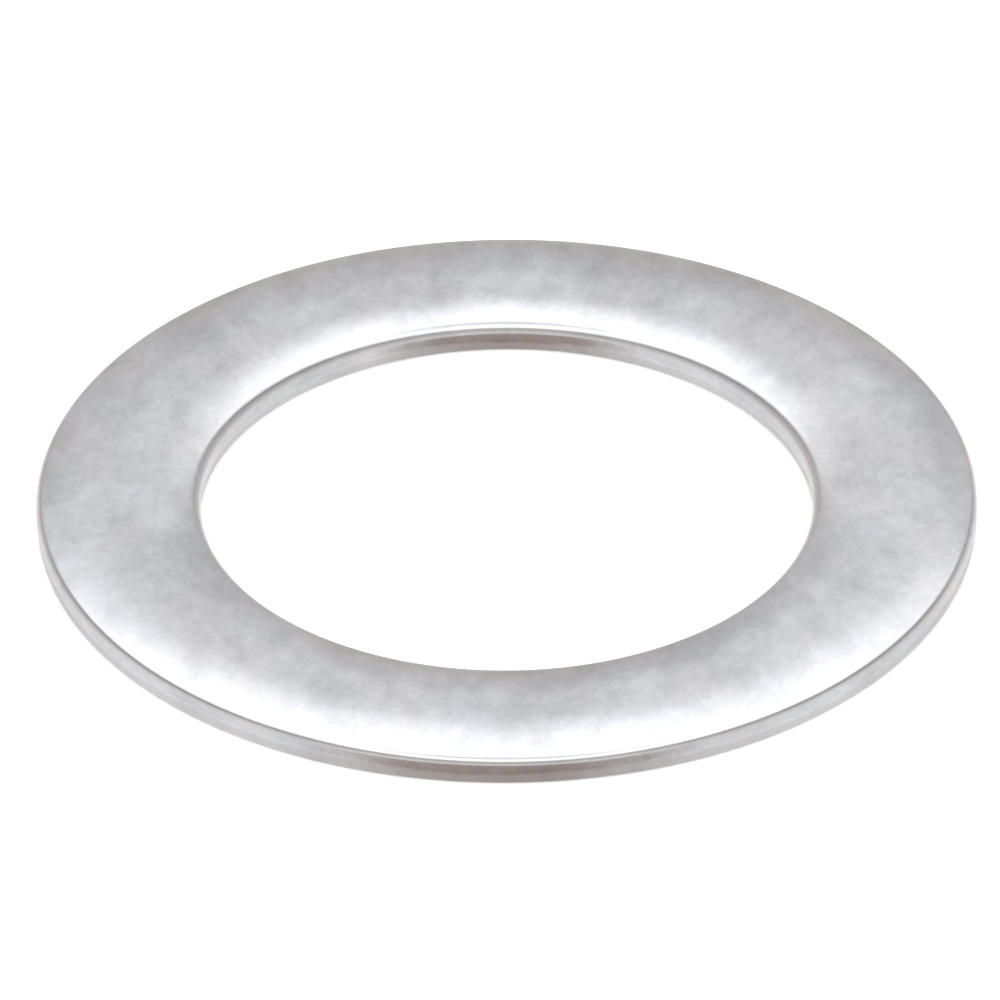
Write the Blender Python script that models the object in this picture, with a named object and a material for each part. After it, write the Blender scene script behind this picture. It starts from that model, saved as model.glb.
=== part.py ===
"""Flat washer: one ring, blanked from sheet steel, tumbled and zinc plated.

Metres, +Z up. The origin is the centre of the bore on the underside. +Z points out of
the rolled face, the one that the punch drew down along both of its edges.
"""

from math import cos, pi, radians, sin, tan

import bmesh
import bpy

# Driving dimensions.
OUTER_DIAMETER = 0.0390
BORE_DIAMETER = 0.0254
THICKNESS = 0.0014

# The rolled face: flat in the middle, it falls ever more steeply over the width of the
# roll, reaches the roll's slope, and turns into the wall round the corner radius.
RIM_ROLL_WIDTH = 0.00385
RIM_ROLL_SLOPE = radians(9.5)
RIM_CORNER_RADIUS = 0.00030
BORE_ROLL_WIDTH = 0.0027
BORE_ROLL_SLOPE = radians(8.5)
BORE_CORNER_RADIUS = 0.00045
ROLL_POWER = 3.0

# The walls: upright where the punch burnished the metal, and below that leaning into
# the ring, where it broke away. A small radius is all that is left of the burr.
BURNISHED_SHARE = 0.4
FRACTURE_LEAN = 0.00004
BURR_RADIUS = 0.00010

# Fineness.
SEGMENTS = 128
ROLL_STEPS = 6
CORNER_STEPS = 5
BURR_STEPS = 2
SHARP_ANGLE = radians(60.0)

ZINC = (0.62, 0.625, 0.645, 1.0)
ZINC_ROUGHNESS = 0.38


def clear_scene():
    for obj in list(bpy.data.objects):
        bpy.data.objects.remove(obj, do_unlink=True)


def metal(name, color, roughness):
    material = bpy.data.materials.new(name)
    material.use_nodes = True
    shader = material.node_tree.nodes["Principled BSDF"]
    shader.inputs["Base Color"].default_value = color
    shader.inputs["Metallic"].default_value = 1.0
    shader.inputs["Roughness"].default_value = roughness
    return material


def edge_section(roll_width, roll_slope, corner_radius):
    """(inset, height) down one edge, from the flat of the rolled face to the underside.

    The inset is how far a point lies inside the edge, measured towards the ring's middle.
    """
    roll_length = roll_width - corner_radius * (1 - sin(roll_slope))
    roll_drop = roll_length * tan(roll_slope) / ROLL_POWER
    corner_height = THICKNESS - roll_drop - corner_radius * cos(roll_slope)

    section = []
    for step in range(ROLL_STEPS):
        way = step / ROLL_STEPS
        section.append((roll_width - roll_length * way, THICKNESS - roll_drop * way**ROLL_POWER))
    for step in range(CORNER_STEPS + 1):
        turn = roll_slope + (pi / 2 - roll_slope) * step / CORNER_STEPS
        section.append((corner_radius * (1 - sin(turn)), corner_height + corner_radius * cos(turn)))
    section.append((0.0, corner_height * (1 - BURNISHED_SHARE)))
    for step in range(BURR_STEPS + 1):
        turn = pi / 2 * step / BURR_STEPS
        inset = FRACTURE_LEAN + BURR_RADIUS * (1 - cos(turn))
        section.append((inset, BURR_RADIUS * (1 - sin(turn))))
    return section


def ring_section():
    """The closed outline of the ring, as (radius, height): down the rim, up the bore."""
    rim = edge_section(RIM_ROLL_WIDTH, RIM_ROLL_SLOPE, RIM_CORNER_RADIUS)
    bore = edge_section(BORE_ROLL_WIDTH, BORE_ROLL_SLOPE, BORE_CORNER_RADIUS)
    down_the_rim = [(OUTER_DIAMETER / 2 - inset, height) for inset, height in rim]
    up_the_bore = [(BORE_DIAMETER / 2 + inset, height) for inset, height in reversed(bore)]
    return down_the_rim + up_the_bore


def turned_ring(name, section, material):
    """A solid made by turning a closed section once round the Z axis."""
    shape = bmesh.new()
    points = [shape.verts.new((radius, 0.0, height)) for radius, height in section]
    sides = [shape.edges.new(pair) for pair in zip(points, points[1:] + points[:1])]
    bmesh.ops.spin(
        shape,
        geom=points + sides,
        cent=(0.0, 0.0, 0.0),
        axis=(0.0, 0.0, 1.0),
        angle=2 * pi,
        steps=SEGMENTS,
        use_merge=True,
    )
    bmesh.ops.recalc_face_normals(shape, faces=shape.faces)
    mesh = bpy.data.meshes.new(name)
    shape.to_mesh(mesh)
    shape.free()
    mesh.shade_smooth()
    mesh.set_sharp_from_angle(angle=SHARP_ANGLE)
    mesh.materials.append(material)
    ring = bpy.data.objects.new(name, mesh)
    bpy.context.scene.collection.objects.link(ring)
    return ring


def main():
    clear_scene()
    zinc = metal("zinc_plated_steel", ZINC, ZINC_ROUGHNESS)
    turned_ring("flat_washer", ring_section(), zinc)


main()
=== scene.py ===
"""The looks of the flat washer: a tumbled, zinc plated ring on a pale floor, in soft light.

Metres, +Z up. The washer lies on the floor with its rolled face up. Its diameters, its
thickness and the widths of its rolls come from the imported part.
"""

from math import cos, hypot, pi, radians, sin, tan

import bpy
import numpy as np
from mathutils import Matrix, Vector, noise


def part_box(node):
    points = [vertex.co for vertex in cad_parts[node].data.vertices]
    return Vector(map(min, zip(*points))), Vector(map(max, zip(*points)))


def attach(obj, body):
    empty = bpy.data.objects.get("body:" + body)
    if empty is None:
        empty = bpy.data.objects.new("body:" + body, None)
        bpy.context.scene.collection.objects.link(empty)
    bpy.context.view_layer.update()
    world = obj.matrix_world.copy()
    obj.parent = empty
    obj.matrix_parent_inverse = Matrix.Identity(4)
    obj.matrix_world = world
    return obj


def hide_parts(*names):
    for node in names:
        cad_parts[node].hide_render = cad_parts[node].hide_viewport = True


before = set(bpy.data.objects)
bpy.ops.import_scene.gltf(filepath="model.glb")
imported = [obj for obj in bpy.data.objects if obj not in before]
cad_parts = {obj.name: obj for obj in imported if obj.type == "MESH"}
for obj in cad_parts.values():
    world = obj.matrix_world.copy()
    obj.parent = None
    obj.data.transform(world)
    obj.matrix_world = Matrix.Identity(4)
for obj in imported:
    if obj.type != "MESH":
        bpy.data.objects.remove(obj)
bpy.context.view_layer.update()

MM = 0.001

# ---------------------------------------------------------------- sizes, from the part

CAD_POINTS = [vertex.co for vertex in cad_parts["flat_washer"].data.vertices]
CAD_RADII = [hypot(point.x, point.y) for point in CAD_POINTS]
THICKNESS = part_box("flat_washer")[1].z
RIM_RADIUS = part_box("flat_washer")[1].x
BORE_RADIUS = min(CAD_RADII)

# The land is the flat ring in the middle of the rolled face, between the two rolls.
LAND_SLACK = 0.0001 * MM
LAND_RADII = [r for r, point in zip(CAD_RADII, CAD_POINTS) if point.z > THICKNESS - LAND_SLACK]
RIM_ROLL_WIDTH = RIM_RADIUS - max(LAND_RADII)
BORE_ROLL_WIDTH = min(LAND_RADII) - BORE_RADIUS

# The rest of the section, as in the part: how steeply each roll meets its corner, how
# widely the corner turns into the wall, and how the wall was cut.
RIM_ROLL_SLOPE = radians(9.5)
RIM_CORNER_RADIUS = 0.30 * MM
BORE_ROLL_SLOPE = radians(8.5)
BORE_CORNER_RADIUS = 0.45 * MM
ROLL_POWER = 3.0
BURNISHED_SHARE = 0.4
FRACTURE_LEAN = 0.04 * MM
BURR_RADIUS = 0.10 * MM

# ---------------------------------------------------------------- the washer's mesh

# Round the ring, and then along each stretch of its section.
SEGMENTS = 720
LAND_STEPS = 6
ROLL_STEPS = 18
CORNER_STEPS = 12
BAND_STEPS = 5
FRACTURE_STEPS = 9
BURR_STEPS = 4
UNDERSIDE_STEPS = 12

# A zone says where on the section a point lies: it grows by one along each stretch, from
# 0 on the land to these values at the ends of the roll, the corner, the burnished band,
# the fracture and the burr.
ROLL_END = 1
CORNER_END = 2
BAND_END = 3
FRACTURE_END = 4
BURR_END = 5

# How far the tumbled face dips below its nominal plane, and over what length.
FACE_WAVE = 0.008 * MM
FACE_WAVE_LENGTH = 5.0 * MM
FACE_RIPPLE = 0.0025 * MM
FACE_RIPPLE_LENGTH = 1.1 * MM

# The rolls deepen by up to this share of their depth, in about this many places.
ROLL_WANDER = 0.08
ROLL_WANDER_WAVES = 9

# The ragged line at the end of the burnished band: how far it strays, and how often.
BAND_WANDER = 0.08 * MM
BAND_WAVES = 26
BAND_FINE_WAVES = 110

# How far the torn metal of the fracture stands back, and over what length that changes.
FRACTURE_TEAR = 0.014 * MM
FRACTURE_TEAR_LENGTH = 0.35 * MM
TEAR_FLATTENING = 0.6

# The zones over which the fracture's mask comes and goes, and the burnished band's.
TORN_FROM = (2.8, 3.4)
TORN_TO = (4.2, 5.0)
BAND_FROM = (1.9, 2.1)
BAND_TO = (2.8, 3.2)

# The zone at the middle of the rubbed corner, and how far to each side it reaches.
RUBBED_MIDDLE = 1.5
RUBBED_REACH = 0.9

# Each pattern takes its own part of the noise.
WAVE_SEED = 3.0
RIPPLE_SEED = 7.0
TEAR_SEED = 19.0
RIM_SEED = 11.0
BORE_SEED = 47.0


def edge_section(roll_width, roll_slope, corner_radius):
    """One edge from the land to the underside: rows of (inset, height, zone).

    The inset is how far a point lies inside the edge, measured towards the ring's middle.
    """
    length = roll_width - corner_radius * (1 - sin(roll_slope))
    drop = length * tan(roll_slope) / ROLL_POWER
    corner = THICKNESS - drop - corner_radius * cos(roll_slope)
    band = corner * (1 - BURNISHED_SHARE)

    rows = []
    for step in range(ROLL_STEPS):
        way = step / ROLL_STEPS
        rows.append((roll_width - length * way, THICKNESS - drop * way**ROLL_POWER, way))
    for step in range(CORNER_STEPS):
        way = step / CORNER_STEPS
        turn = roll_slope + (pi / 2 - roll_slope) * way
        inset = corner_radius * (1 - sin(turn))
        rows.append((inset, corner + corner_radius * cos(turn), ROLL_END + way))
    for step in range(BAND_STEPS):
        way = step / BAND_STEPS
        rows.append((0.0, corner + (band - corner) * way, CORNER_END + way))
    for step in range(FRACTURE_STEPS):
        way = step / FRACTURE_STEPS
        height = band + (BURR_RADIUS - band) * way
        rows.append((FRACTURE_LEAN * way, height, BAND_END + way))
    for step in range(BURR_STEPS + 1):
        way = step / BURR_STEPS
        turn = pi / 2 * way
        inset = FRACTURE_LEAN + BURR_RADIUS * (1 - cos(turn))
        rows.append((inset, BURR_RADIUS * (1 - sin(turn)), FRACTURE_END + way))
    return rows


def between(start, end, steps):
    """The radii between two rings of points, without the two themselves."""
    return [start + (end - start) * step / steps for step in range(1, steps)]


def ring_section():
    """The whole section once round, as rows of (radius, height, zone)."""
    rim = edge_section(RIM_ROLL_WIDTH, RIM_ROLL_SLOPE, RIM_CORNER_RADIUS)
    bore = edge_section(BORE_ROLL_WIDTH, BORE_ROLL_SLOPE, BORE_CORNER_RADIUS)
    down = [(RIM_RADIUS - inset, height, zone) for inset, height, zone in rim]
    up = [(BORE_RADIUS + inset, height, zone) for inset, height, zone in reversed(bore)]
    under = [(r, 0.0, BURR_END) for r in between(down[-1][0], up[0][0], UNDERSIDE_STEPS)]
    land = [(r, THICKNESS, 0) for r in between(up[-1][0], down[0][0], LAND_STEPS)]
    return down + under + up + land


def dip(x, y, z, length, seed):
    """Soft noise, from about 0 to about 1, that changes over that length."""
    place = Vector((x / length + seed, y / length - seed, z / length))
    return 0.5 + 0.5 * noise.noise(place)


def wander(angle, waves, seed):
    """A value from about -1 to 1 that drifts round the ring and meets itself."""
    reach = waves / (2 * pi)
    return noise.noise(Vector((reach * cos(angle), reach * sin(angle), seed))) * 1.6


def share(value, low, high):
    """0 below low, 1 above high, smooth between."""
    way = min(1.0, max(0.0, (value - low) / (high - low)))
    return way * way * (3 - 2 * way)


def worn_point(radius, height, zone, angle):
    """Where a nominal point of the section lies on the real ring, and its fracture mask."""
    at_rim = radius > (RIM_RADIUS + BORE_RADIUS) / 2
    outward = 1.0 if at_rim else -1.0
    seed = RIM_SEED if at_rim else BORE_SEED
    x, y = radius * cos(angle), radius * sin(angle)

    # The roll is a little deeper in some places than in others.
    if 0 < zone < CORNER_END + 0.5 and height < THICKNESS:
        depth = THICKNESS - height
        height -= depth * ROLL_WANDER * (0.5 + 0.5 * wander(angle, ROLL_WANDER_WAVES, seed))

    # Tumbling leaves the rolled face gently uneven, always below its nominal plane.
    if zone < CORNER_END:
        height -= FACE_WAVE * dip(x, y, 0, FACE_WAVE_LENGTH, WAVE_SEED)
        height -= FACE_RIPPLE * dip(x, y, 0, FACE_RIPPLE_LENGTH, RIPPLE_SEED)

    # The line between the burnished band and the fracture runs ragged round the wall.
    if CORNER_END < zone < FRACTURE_END:
        line = wander(angle, BAND_WAVES, seed + 1) + 0.5 * wander(angle, BAND_FINE_WAVES, seed + 2)
        height += BAND_WANDER * line * (1 - abs(zone - BAND_END))

    # Torn metal stands back from the burnished band by an uneven amount.
    torn = share(zone, *TORN_FROM) * (1 - share(zone, *TORN_TO))
    if torn > 0 and height > 0:
        tear = dip(x, y, height * TEAR_FLATTENING, FRACTURE_TEAR_LENGTH, TEAR_SEED)
        radius -= outward * FRACTURE_TEAR * tear * torn

    return radius * cos(angle), radius * sin(angle), height, torn


def add_mask(mesh, name, values):
    """A number from 0 to 1 at each point, which the material reads by its name."""
    attribute = mesh.attributes.new(name, "FLOAT", "POINT")
    attribute.data.foreach_set("value", np.array(values, np.float32))


def washer_mesh():
    """The section worn a little differently at each angle, joined into one closed skin."""
    section = ring_section()
    count = len(section)
    points, torn = [], []
    for segment in range(SEGMENTS):
        angle = 2 * pi * segment / SEGMENTS
        for radius, height, zone in section:
            x, y, z, tear = worn_point(radius, height, zone, angle)
            points.append((x, y, z))
            torn.append(tear)

    faces = []
    for segment in range(SEGMENTS):
        here, there = segment * count, (segment + 1) % SEGMENTS * count
        for row in range(count):
            below = (row + 1) % count
            faces.append((here + row, here + below, there + below, there + row))

    mesh = bpy.data.meshes.new("flat_washer_skin")
    mesh.from_pydata(points, [], faces)
    mesh.shade_smooth()
    zones = [zone for _, _, zone in section] * SEGMENTS
    add_mask(mesh, "torn", torn)
    add_mask(mesh, "band", [share(z, *BAND_FROM) * (1 - share(z, *BAND_TO)) for z in zones])
    add_mask(mesh, "rubbed", [max(0.0, 1 - abs(z - RUBBED_MIDDLE) / RUBBED_REACH) for z in zones])
    return mesh


# ---------------------------------------------------------------- material


class Nodes:
    """A short way to write a node tree: each call adds a node and returns its output."""

    def __init__(self, tree):
        self.tree = tree

    def add(self, kind, inputs=None, output=0, **settings):
        node = self.tree.nodes.new(kind)
        for name, value in settings.items():
            setattr(node, name, value)
        for socket, value in (inputs or {}).items():
            if isinstance(value, bpy.types.NodeSocket):
                self.tree.links.new(value, node.inputs[socket])
            else:
                node.inputs[socket].default_value = value
        return node.outputs[output]

    def math(self, operation, a, b):
        return self.add("ShaderNodeMath", {0: a, 1: b}, operation=operation)

    def spread(self, value, from_low, from_high, to_low, to_high, **settings):
        """Maps one range to another, held at both ends."""
        inputs = {0: value, 1: from_low, 2: from_high, 3: to_low, 4: to_high}
        return self.add("ShaderNodeMapRange", inputs, clamp=True, **settings)

    def fade(self, value, dark, bright):
        """0 at dark, 1 at bright, smooth between: either may be the greater."""
        return self.spread(value, dark, bright, 0.0, 1.0, interpolation_type="SMOOTHSTEP")

    def mix(self, factor, a, b, **settings):
        inputs = {0: factor, 6: a, 7: b}
        return self.add("ShaderNodeMix", inputs, output=2, data_type="RGBA", **settings)

    def vector(self, operation, place, values):
        inputs = {0: place, 1: values}
        return self.add("ShaderNodeVectorMath", inputs, operation=operation)

    def scaled(self, vector, factor):
        inputs = {0: vector, 3: factor}
        return self.add("ShaderNodeVectorMath", inputs, operation="SCALE")

    def moved(self, place, offset):
        """The same place in another part of the noise, so that patterns differ."""
        return self.vector("ADD", place, (offset, offset, offset))

    def noise(self, place, pattern):
        scale, detail, roughness = pattern
        inputs = {"Vector": place, "Scale": scale, "Detail": detail, "Roughness": roughness}
        return self.add("ShaderNodeTexNoise", inputs)

    def mask(self, name):
        return self.add("ShaderNodeAttribute", output=2, attribute_name=name)

    def bump(self, height, depth, normal=None):
        """depth is in metres: how high the white of the pattern stands over its black."""
        inputs = {"Height": height, "Distance": depth, "Strength": 1.0}
        if normal is not None:
            inputs["Normal"] = normal
        return self.add("ShaderNodeBump", inputs)


ZINC_LIGHT = (0.745, 0.756, 0.798, 1.0)
ZINC_DULL = (0.556, 0.563, 0.593, 1.0)
ZINC_WARM = (1.015, 0.997, 0.985, 1.0)
ZINC_COOL = (0.985, 1.003, 1.010, 1.0)
ZINC_RUBBED = (0.72, 0.725, 0.745, 1.0)
TORN_STEEL = (0.670, 0.662, 0.660, 1.0)

# The sheet was rolled along Y, and its patterns are drawn out that way.
SHEET_GRAIN = (1.0, 0.6, 1.0)

# The patterns of the surface: how many to a millimetre, layers of detail, and how strong
# the finer layers are.
CLOUDS = (0.32, 4.0, 0.74)
SAND = (2.8, 3.0, 0.85)
STAINS = (0.4, 3.0, 0.6)
SATIN = (0.65, 4.0, 0.7)
PITS = (11.0, 2.0, 0.6)
DENTS = (2.0, 3.0, 0.6)
DRAW_LINES = (1.0, 2.0, 0.5)
CRYSTALS = (6.0, 3.0, 0.7)

# Each pattern takes its own part of the noise, this far off in all three directions.
SAND_OFFSET = 20.0
STAIN_OFFSET = 40.0
SATIN_OFFSET = 80.0

# The stretch of each noise that runs from one extreme of its look to the other.
DULLNESS_SPAN = (0.42, 0.78)
WARMTH_SPAN = (0.35, 0.65)
SATIN_SPAN = (0.3, 0.7)

CLOUD_STRENGTH = 0.9
SAND_STRENGTH = 0.3
RUBBED_STRENGTH = 0.5
TORN_STRENGTH = 0.6

SMOOTHEST = 0.18
ROUGHEST = 0.27
RUBBED_SMOOTHER_BY = 0.03
TORN_ROUGHER_BY = 0.22

PIT_DEPTH = 0.0009 * MM
DENT_DEPTH = 0.0040 * MM
DRAW_LINE_DEPTH = 0.004 * MM
DRAW_LINE_STRETCH = (6.0, 6.0, 0.25)
CRYSTAL_DEPTH = 0.02 * MM


def zinc_color(nodes, grained, torn, rubbed):
    """Sandy, faintly cloudy zinc with warm and cool patches, brighter where it is rubbed."""
    clouds = nodes.math("MULTIPLY", nodes.noise(grained, CLOUDS), CLOUD_STRENGTH)
    sandy = nodes.noise(nodes.moved(grained, SAND_OFFSET), SAND)
    sand = nodes.math("MULTIPLY", sandy, SAND_STRENGTH)
    dullness = nodes.spread(nodes.math("ADD", clouds, sand), *DULLNESS_SPAN, 0.0, 1.0)
    plated = nodes.mix(dullness, ZINC_LIGHT, ZINC_DULL)
    stains = nodes.noise(nodes.moved(grained, STAIN_OFFSET), STAINS)
    tint = nodes.mix(nodes.spread(stains, *WARMTH_SPAN, 0.0, 1.0), ZINC_COOL, ZINC_WARM)
    tinted = nodes.mix(1.0, plated, tint, blend_type="MULTIPLY")
    edged = nodes.mix(nodes.math("MULTIPLY", rubbed, RUBBED_STRENGTH), tinted, ZINC_RUBBED)
    return nodes.mix(nodes.math("MULTIPLY", torn, TORN_STRENGTH), edged, TORN_STEEL)


def zinc_roughness(nodes, grained, torn, rubbed):
    """A satin that varies softly, smoother on rubbed corners and rougher where torn."""
    pattern = nodes.noise(nodes.moved(grained, SATIN_OFFSET), SATIN)
    satin = nodes.spread(pattern, *SATIN_SPAN, SMOOTHEST, ROUGHEST)
    worn = nodes.math("SUBTRACT", satin, nodes.math("MULTIPLY", rubbed, RUBBED_SMOOTHER_BY))
    return nodes.math("ADD", worn, nodes.math("MULTIPLY", torn, TORN_ROUGHER_BY))


def zinc_relief(nodes, in_mm, grained, torn, band):
    """Fine pits and dents, draw lines down the burnished band, crystals on the fracture."""
    pits = nodes.bump(nodes.noise(grained, PITS), PIT_DEPTH)
    dents = nodes.bump(nodes.noise(grained, DENTS), DENT_DEPTH, pits)
    down_wall = nodes.vector("MULTIPLY", in_mm, DRAW_LINE_STRETCH)
    lines = nodes.math("SUBTRACT", nodes.noise(down_wall, DRAW_LINES), 0.5)
    drawn = nodes.bump(nodes.math("MULTIPLY", lines, band), DRAW_LINE_DEPTH, dents)
    crystals = nodes.math("SUBTRACT", nodes.noise(in_mm, CRYSTALS), 0.5)
    return nodes.bump(nodes.math("MULTIPLY", crystals, torn), CRYSTAL_DEPTH, drawn)


def zinc_plated_steel():
    material = bpy.data.materials.new("zinc_plated_steel")
    material.use_nodes = True
    nodes = Nodes(material.node_tree)
    shader = material.node_tree.nodes["Principled BSDF"]
    shader.inputs["Metallic"].default_value = 1.0

    in_mm = nodes.scaled(nodes.add("ShaderNodeTexCoord", output=3), 1 / MM)
    grained = nodes.vector("MULTIPLY", in_mm, SHEET_GRAIN)
    torn = nodes.mask("torn")
    band = nodes.mask("band")
    rubbed = nodes.mask("rubbed")

    link = material.node_tree.links.new
    link(zinc_color(nodes, grained, torn, rubbed), shader.inputs["Base Color"])
    link(zinc_roughness(nodes, grained, torn, rubbed), shader.inputs["Roughness"])
    link(zinc_relief(nodes, in_mm, grained, torn, band), shader.inputs["Normal"])
    return material


# ---------------------------------------------------------------- floor and light

FLOOR_SIZE = 6.0
FLOOR_GAP = 0.01 * MM
FLOOR_WHITE = (0.95, 0.95, 0.95, 1.0)
FLOOR_ROUGHNESS = 0.9

# What surrounds the washer, from straight below to straight above: elevation in degrees,
# brightness, and tint. White paper lies below and darkens towards the horizon, a dim and
# slightly warm wall stands around, and above it a large soft light hangs in a ring round
# a dimmer middle.
SURROUNDINGS = (
    (-90, 0.75, (1.00, 1.00, 1.00)),
    (-60, 1.10, (1.00, 1.00, 1.00)),
    (-43, 1.12, (1.00, 1.00, 0.99)),
    (-36, 0.96, (1.01, 1.00, 0.98)),
    (-24, 0.91, (1.02, 1.00, 0.97)),
    (-12, 0.88, (1.03, 1.00, 0.96)),
    (0, 0.76, (1.05, 1.00, 0.95)),
    (10, 0.64, (1.07, 1.00, 0.94)),
    (19, 0.51, (1.07, 1.00, 0.94)),
    (26, 0.64, (1.04, 1.00, 0.97)),
    (31, 0.60, (1.01, 1.00, 0.99)),
    (34.5, 0.52, (1.00, 1.00, 1.00)),
    (38, 1.40, (1.00, 1.00, 1.00)),
    (43, 1.70, (1.00, 1.00, 1.00)),
    (62, 1.60, (1.00, 1.00, 1.00)),
    (72, 1.50, (1.00, 1.00, 1.00)),
    (90, 0.88, (1.00, 1.00, 1.00)),
)

# A color ramp holds values up to 1, so brightness is divided by this and restored after it.
BRIGHTEST = 3.0

# To the left and right the surroundings are dimmer, most of all at middle height.
SIDE_DIMMING = 0.45
SIDE_WALL_FOOT = radians(12)
SIDE_WALL_FULL = radians(34)
SIDE_WALL_HEAD = radians(62)

# Low down on the -Y side, where the camera stands, the paper gives way to the dark of the
# room: fully within the first turn to each side, and not at all beyond the second.
GAP_FULL_TURN = radians(14)
GAP_NO_TURN = radians(55)
GAP_TOP = radians(-26)
GAP_EDGE = radians(9)
GAP_DEPTH = 0.88
GAP_COLOR = (0.100, 0.066, 0.052, 1.0)

# The even light that falls on the floor, and what the camera itself sees past the floor.
PAPER_LIGHT = (1.8, 1.8, 1.8, 1.0)
BACKDROP_WHITE = (1.05, 1.05, 1.05, 1.0)


def studio_floor():
    """Pale paper, which the washer's gloss doesn't mirror: SURROUNDINGS holds it instead."""
    bpy.ops.mesh.primitive_plane_add(size=FLOOR_SIZE, location=(0, 0, -FLOOR_GAP))
    floor = bpy.context.object
    floor.name = "floor"
    material = bpy.data.materials.new("floor_paper")
    material.use_nodes = True
    shader = material.node_tree.nodes["Principled BSDF"]
    shader.inputs["Base Color"].default_value = FLOOR_WHITE
    shader.inputs["Roughness"].default_value = FLOOR_ROUGHNESS
    shader.inputs["Specular IOR Level"].default_value = 0.0
    floor.data.materials.append(material)
    floor.visible_glossy = False


def light_by_elevation(nodes, upward):
    """SURROUNDINGS as a color ramp, from straight down to straight up."""
    ramp_color = nodes.add("ShaderNodeValToRGB", {0: nodes.spread(upward, -1.0, 1.0, 0.0, 1.0)})
    ramp = ramp_color.node.color_ramp
    while len(ramp.elements) < len(SURROUNDINGS):
        ramp.elements.new(0.5)
    for element, (elevation, brightness, tint) in zip(ramp.elements, SURROUNDINGS):
        element.position = (sin(radians(elevation)) + 1) / 2
        element.color = [part * brightness / BRIGHTEST for part in tint] + [1.0]
    return ramp_color


def side_light_kept(nodes, upward, heading_y):
    """How much of the light is left once the side walls have dimmed it."""
    sideways = nodes.math("SUBTRACT", 1.0, nodes.math("MULTIPLY", heading_y, heading_y))
    above = nodes.fade(upward, sin(SIDE_WALL_FOOT), sin(SIDE_WALL_FULL))
    below = nodes.fade(upward, sin(SIDE_WALL_HEAD), sin(SIDE_WALL_FULL))
    side_wall = nodes.math("MULTIPLY", sideways, nodes.math("MULTIPLY", above, below))
    return nodes.math("SUBTRACT", 1.0, nodes.math("MULTIPLY", side_wall, SIDE_DIMMING))


def dark_gap(nodes, upward, heading_y):
    """How far the dark of the room takes the paper's place."""
    ahead = nodes.math("MULTIPLY", heading_y, -1.0)
    facing = nodes.fade(ahead, cos(GAP_NO_TURN), cos(GAP_FULL_TURN))
    low = nodes.fade(upward, sin(GAP_TOP + GAP_EDGE), sin(GAP_TOP - GAP_EDGE))
    return nodes.math("MULTIPLY", nodes.math("MULTIPLY", facing, low), GAP_DEPTH)


def surroundings():
    world = bpy.data.worlds.new("studio")
    world.use_nodes = True
    bpy.context.scene.world = world
    tree = world.node_tree
    nodes = Nodes(tree)

    direction = nodes.add("ShaderNodeTexCoord", output=0)
    upward = nodes.add("ShaderNodeSeparateXYZ", {0: direction}, output=2)
    level = nodes.vector("MULTIPLY", direction, (1.0, 1.0, 0.0))
    heading = nodes.add("ShaderNodeVectorMath", {0: level}, operation="NORMALIZE")
    heading_y = nodes.add("ShaderNodeSeparateXYZ", {0: heading}, output=1)

    kept = side_light_kept(nodes, upward, heading_y)
    walled = nodes.scaled(light_by_elevation(nodes, upward), kept)
    lit = nodes.mix(dark_gap(nodes, upward, heading_y), walled, GAP_COLOR)
    bright = nodes.scaled(lit, BRIGHTEST)

    from_camera = nodes.add("ShaderNodeLightPath", output=0)
    from_floor = nodes.add("ShaderNodeLightPath", output=2)
    cast = nodes.mix(from_floor, bright, PAPER_LIGHT)
    shown = nodes.mix(from_camera, cast, BACKDROP_WHITE)
    tree.links.new(shown, tree.nodes["Background"].inputs["Color"])


# ---------------------------------------------------------------- camera and making

# The camera looks along +Y and down at the washer, from far off with a long lens. The
# frame is FRAME_WIDTH wide where the washer lies.
CAMERA_ELEVATION = radians(33.82)
CAMERA_DISTANCE = 1.95
CAMERA_ROLL = radians(-0.30)
CLIP_NEAR = 0.01
CLIP_FAR = 10.0
FRAME_WIDTH = 41.48 * MM
AIM_LEFT = 0.275 * MM
AIM_UP = 0.256 * MM


def camera():
    data = bpy.data.cameras.new("camera")
    data.lens = data.sensor_width * CAMERA_DISTANCE / FRAME_WIDTH
    data.clip_start = CLIP_NEAR
    data.clip_end = CLIP_FAR
    made = bpy.data.objects.new("camera", data)
    bpy.context.scene.collection.objects.link(made)
    tilt = Matrix.Rotation(pi / 2 - CAMERA_ELEVATION, 4, "X")
    roll = Matrix.Rotation(CAMERA_ROLL, 4, "Z")
    centre = Matrix.Translation((0, 0, THICKNESS / 2))
    back = Matrix.Translation((-AIM_LEFT, AIM_UP, CAMERA_DISTANCE))
    made.matrix_world = centre @ tilt @ back @ roll
    bpy.context.scene.camera = made


def washer():
    ring = bpy.data.objects.new("washer_ring", washer_mesh())
    bpy.context.scene.collection.objects.link(ring)
    ring.data.materials.append(zinc_plated_steel())
    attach(ring, "root")
    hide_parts("flat_washer")


camera()
studio_floor()
surroundings()
washer()
bpy.context.scene.view_settings.view_transform = "Standard"
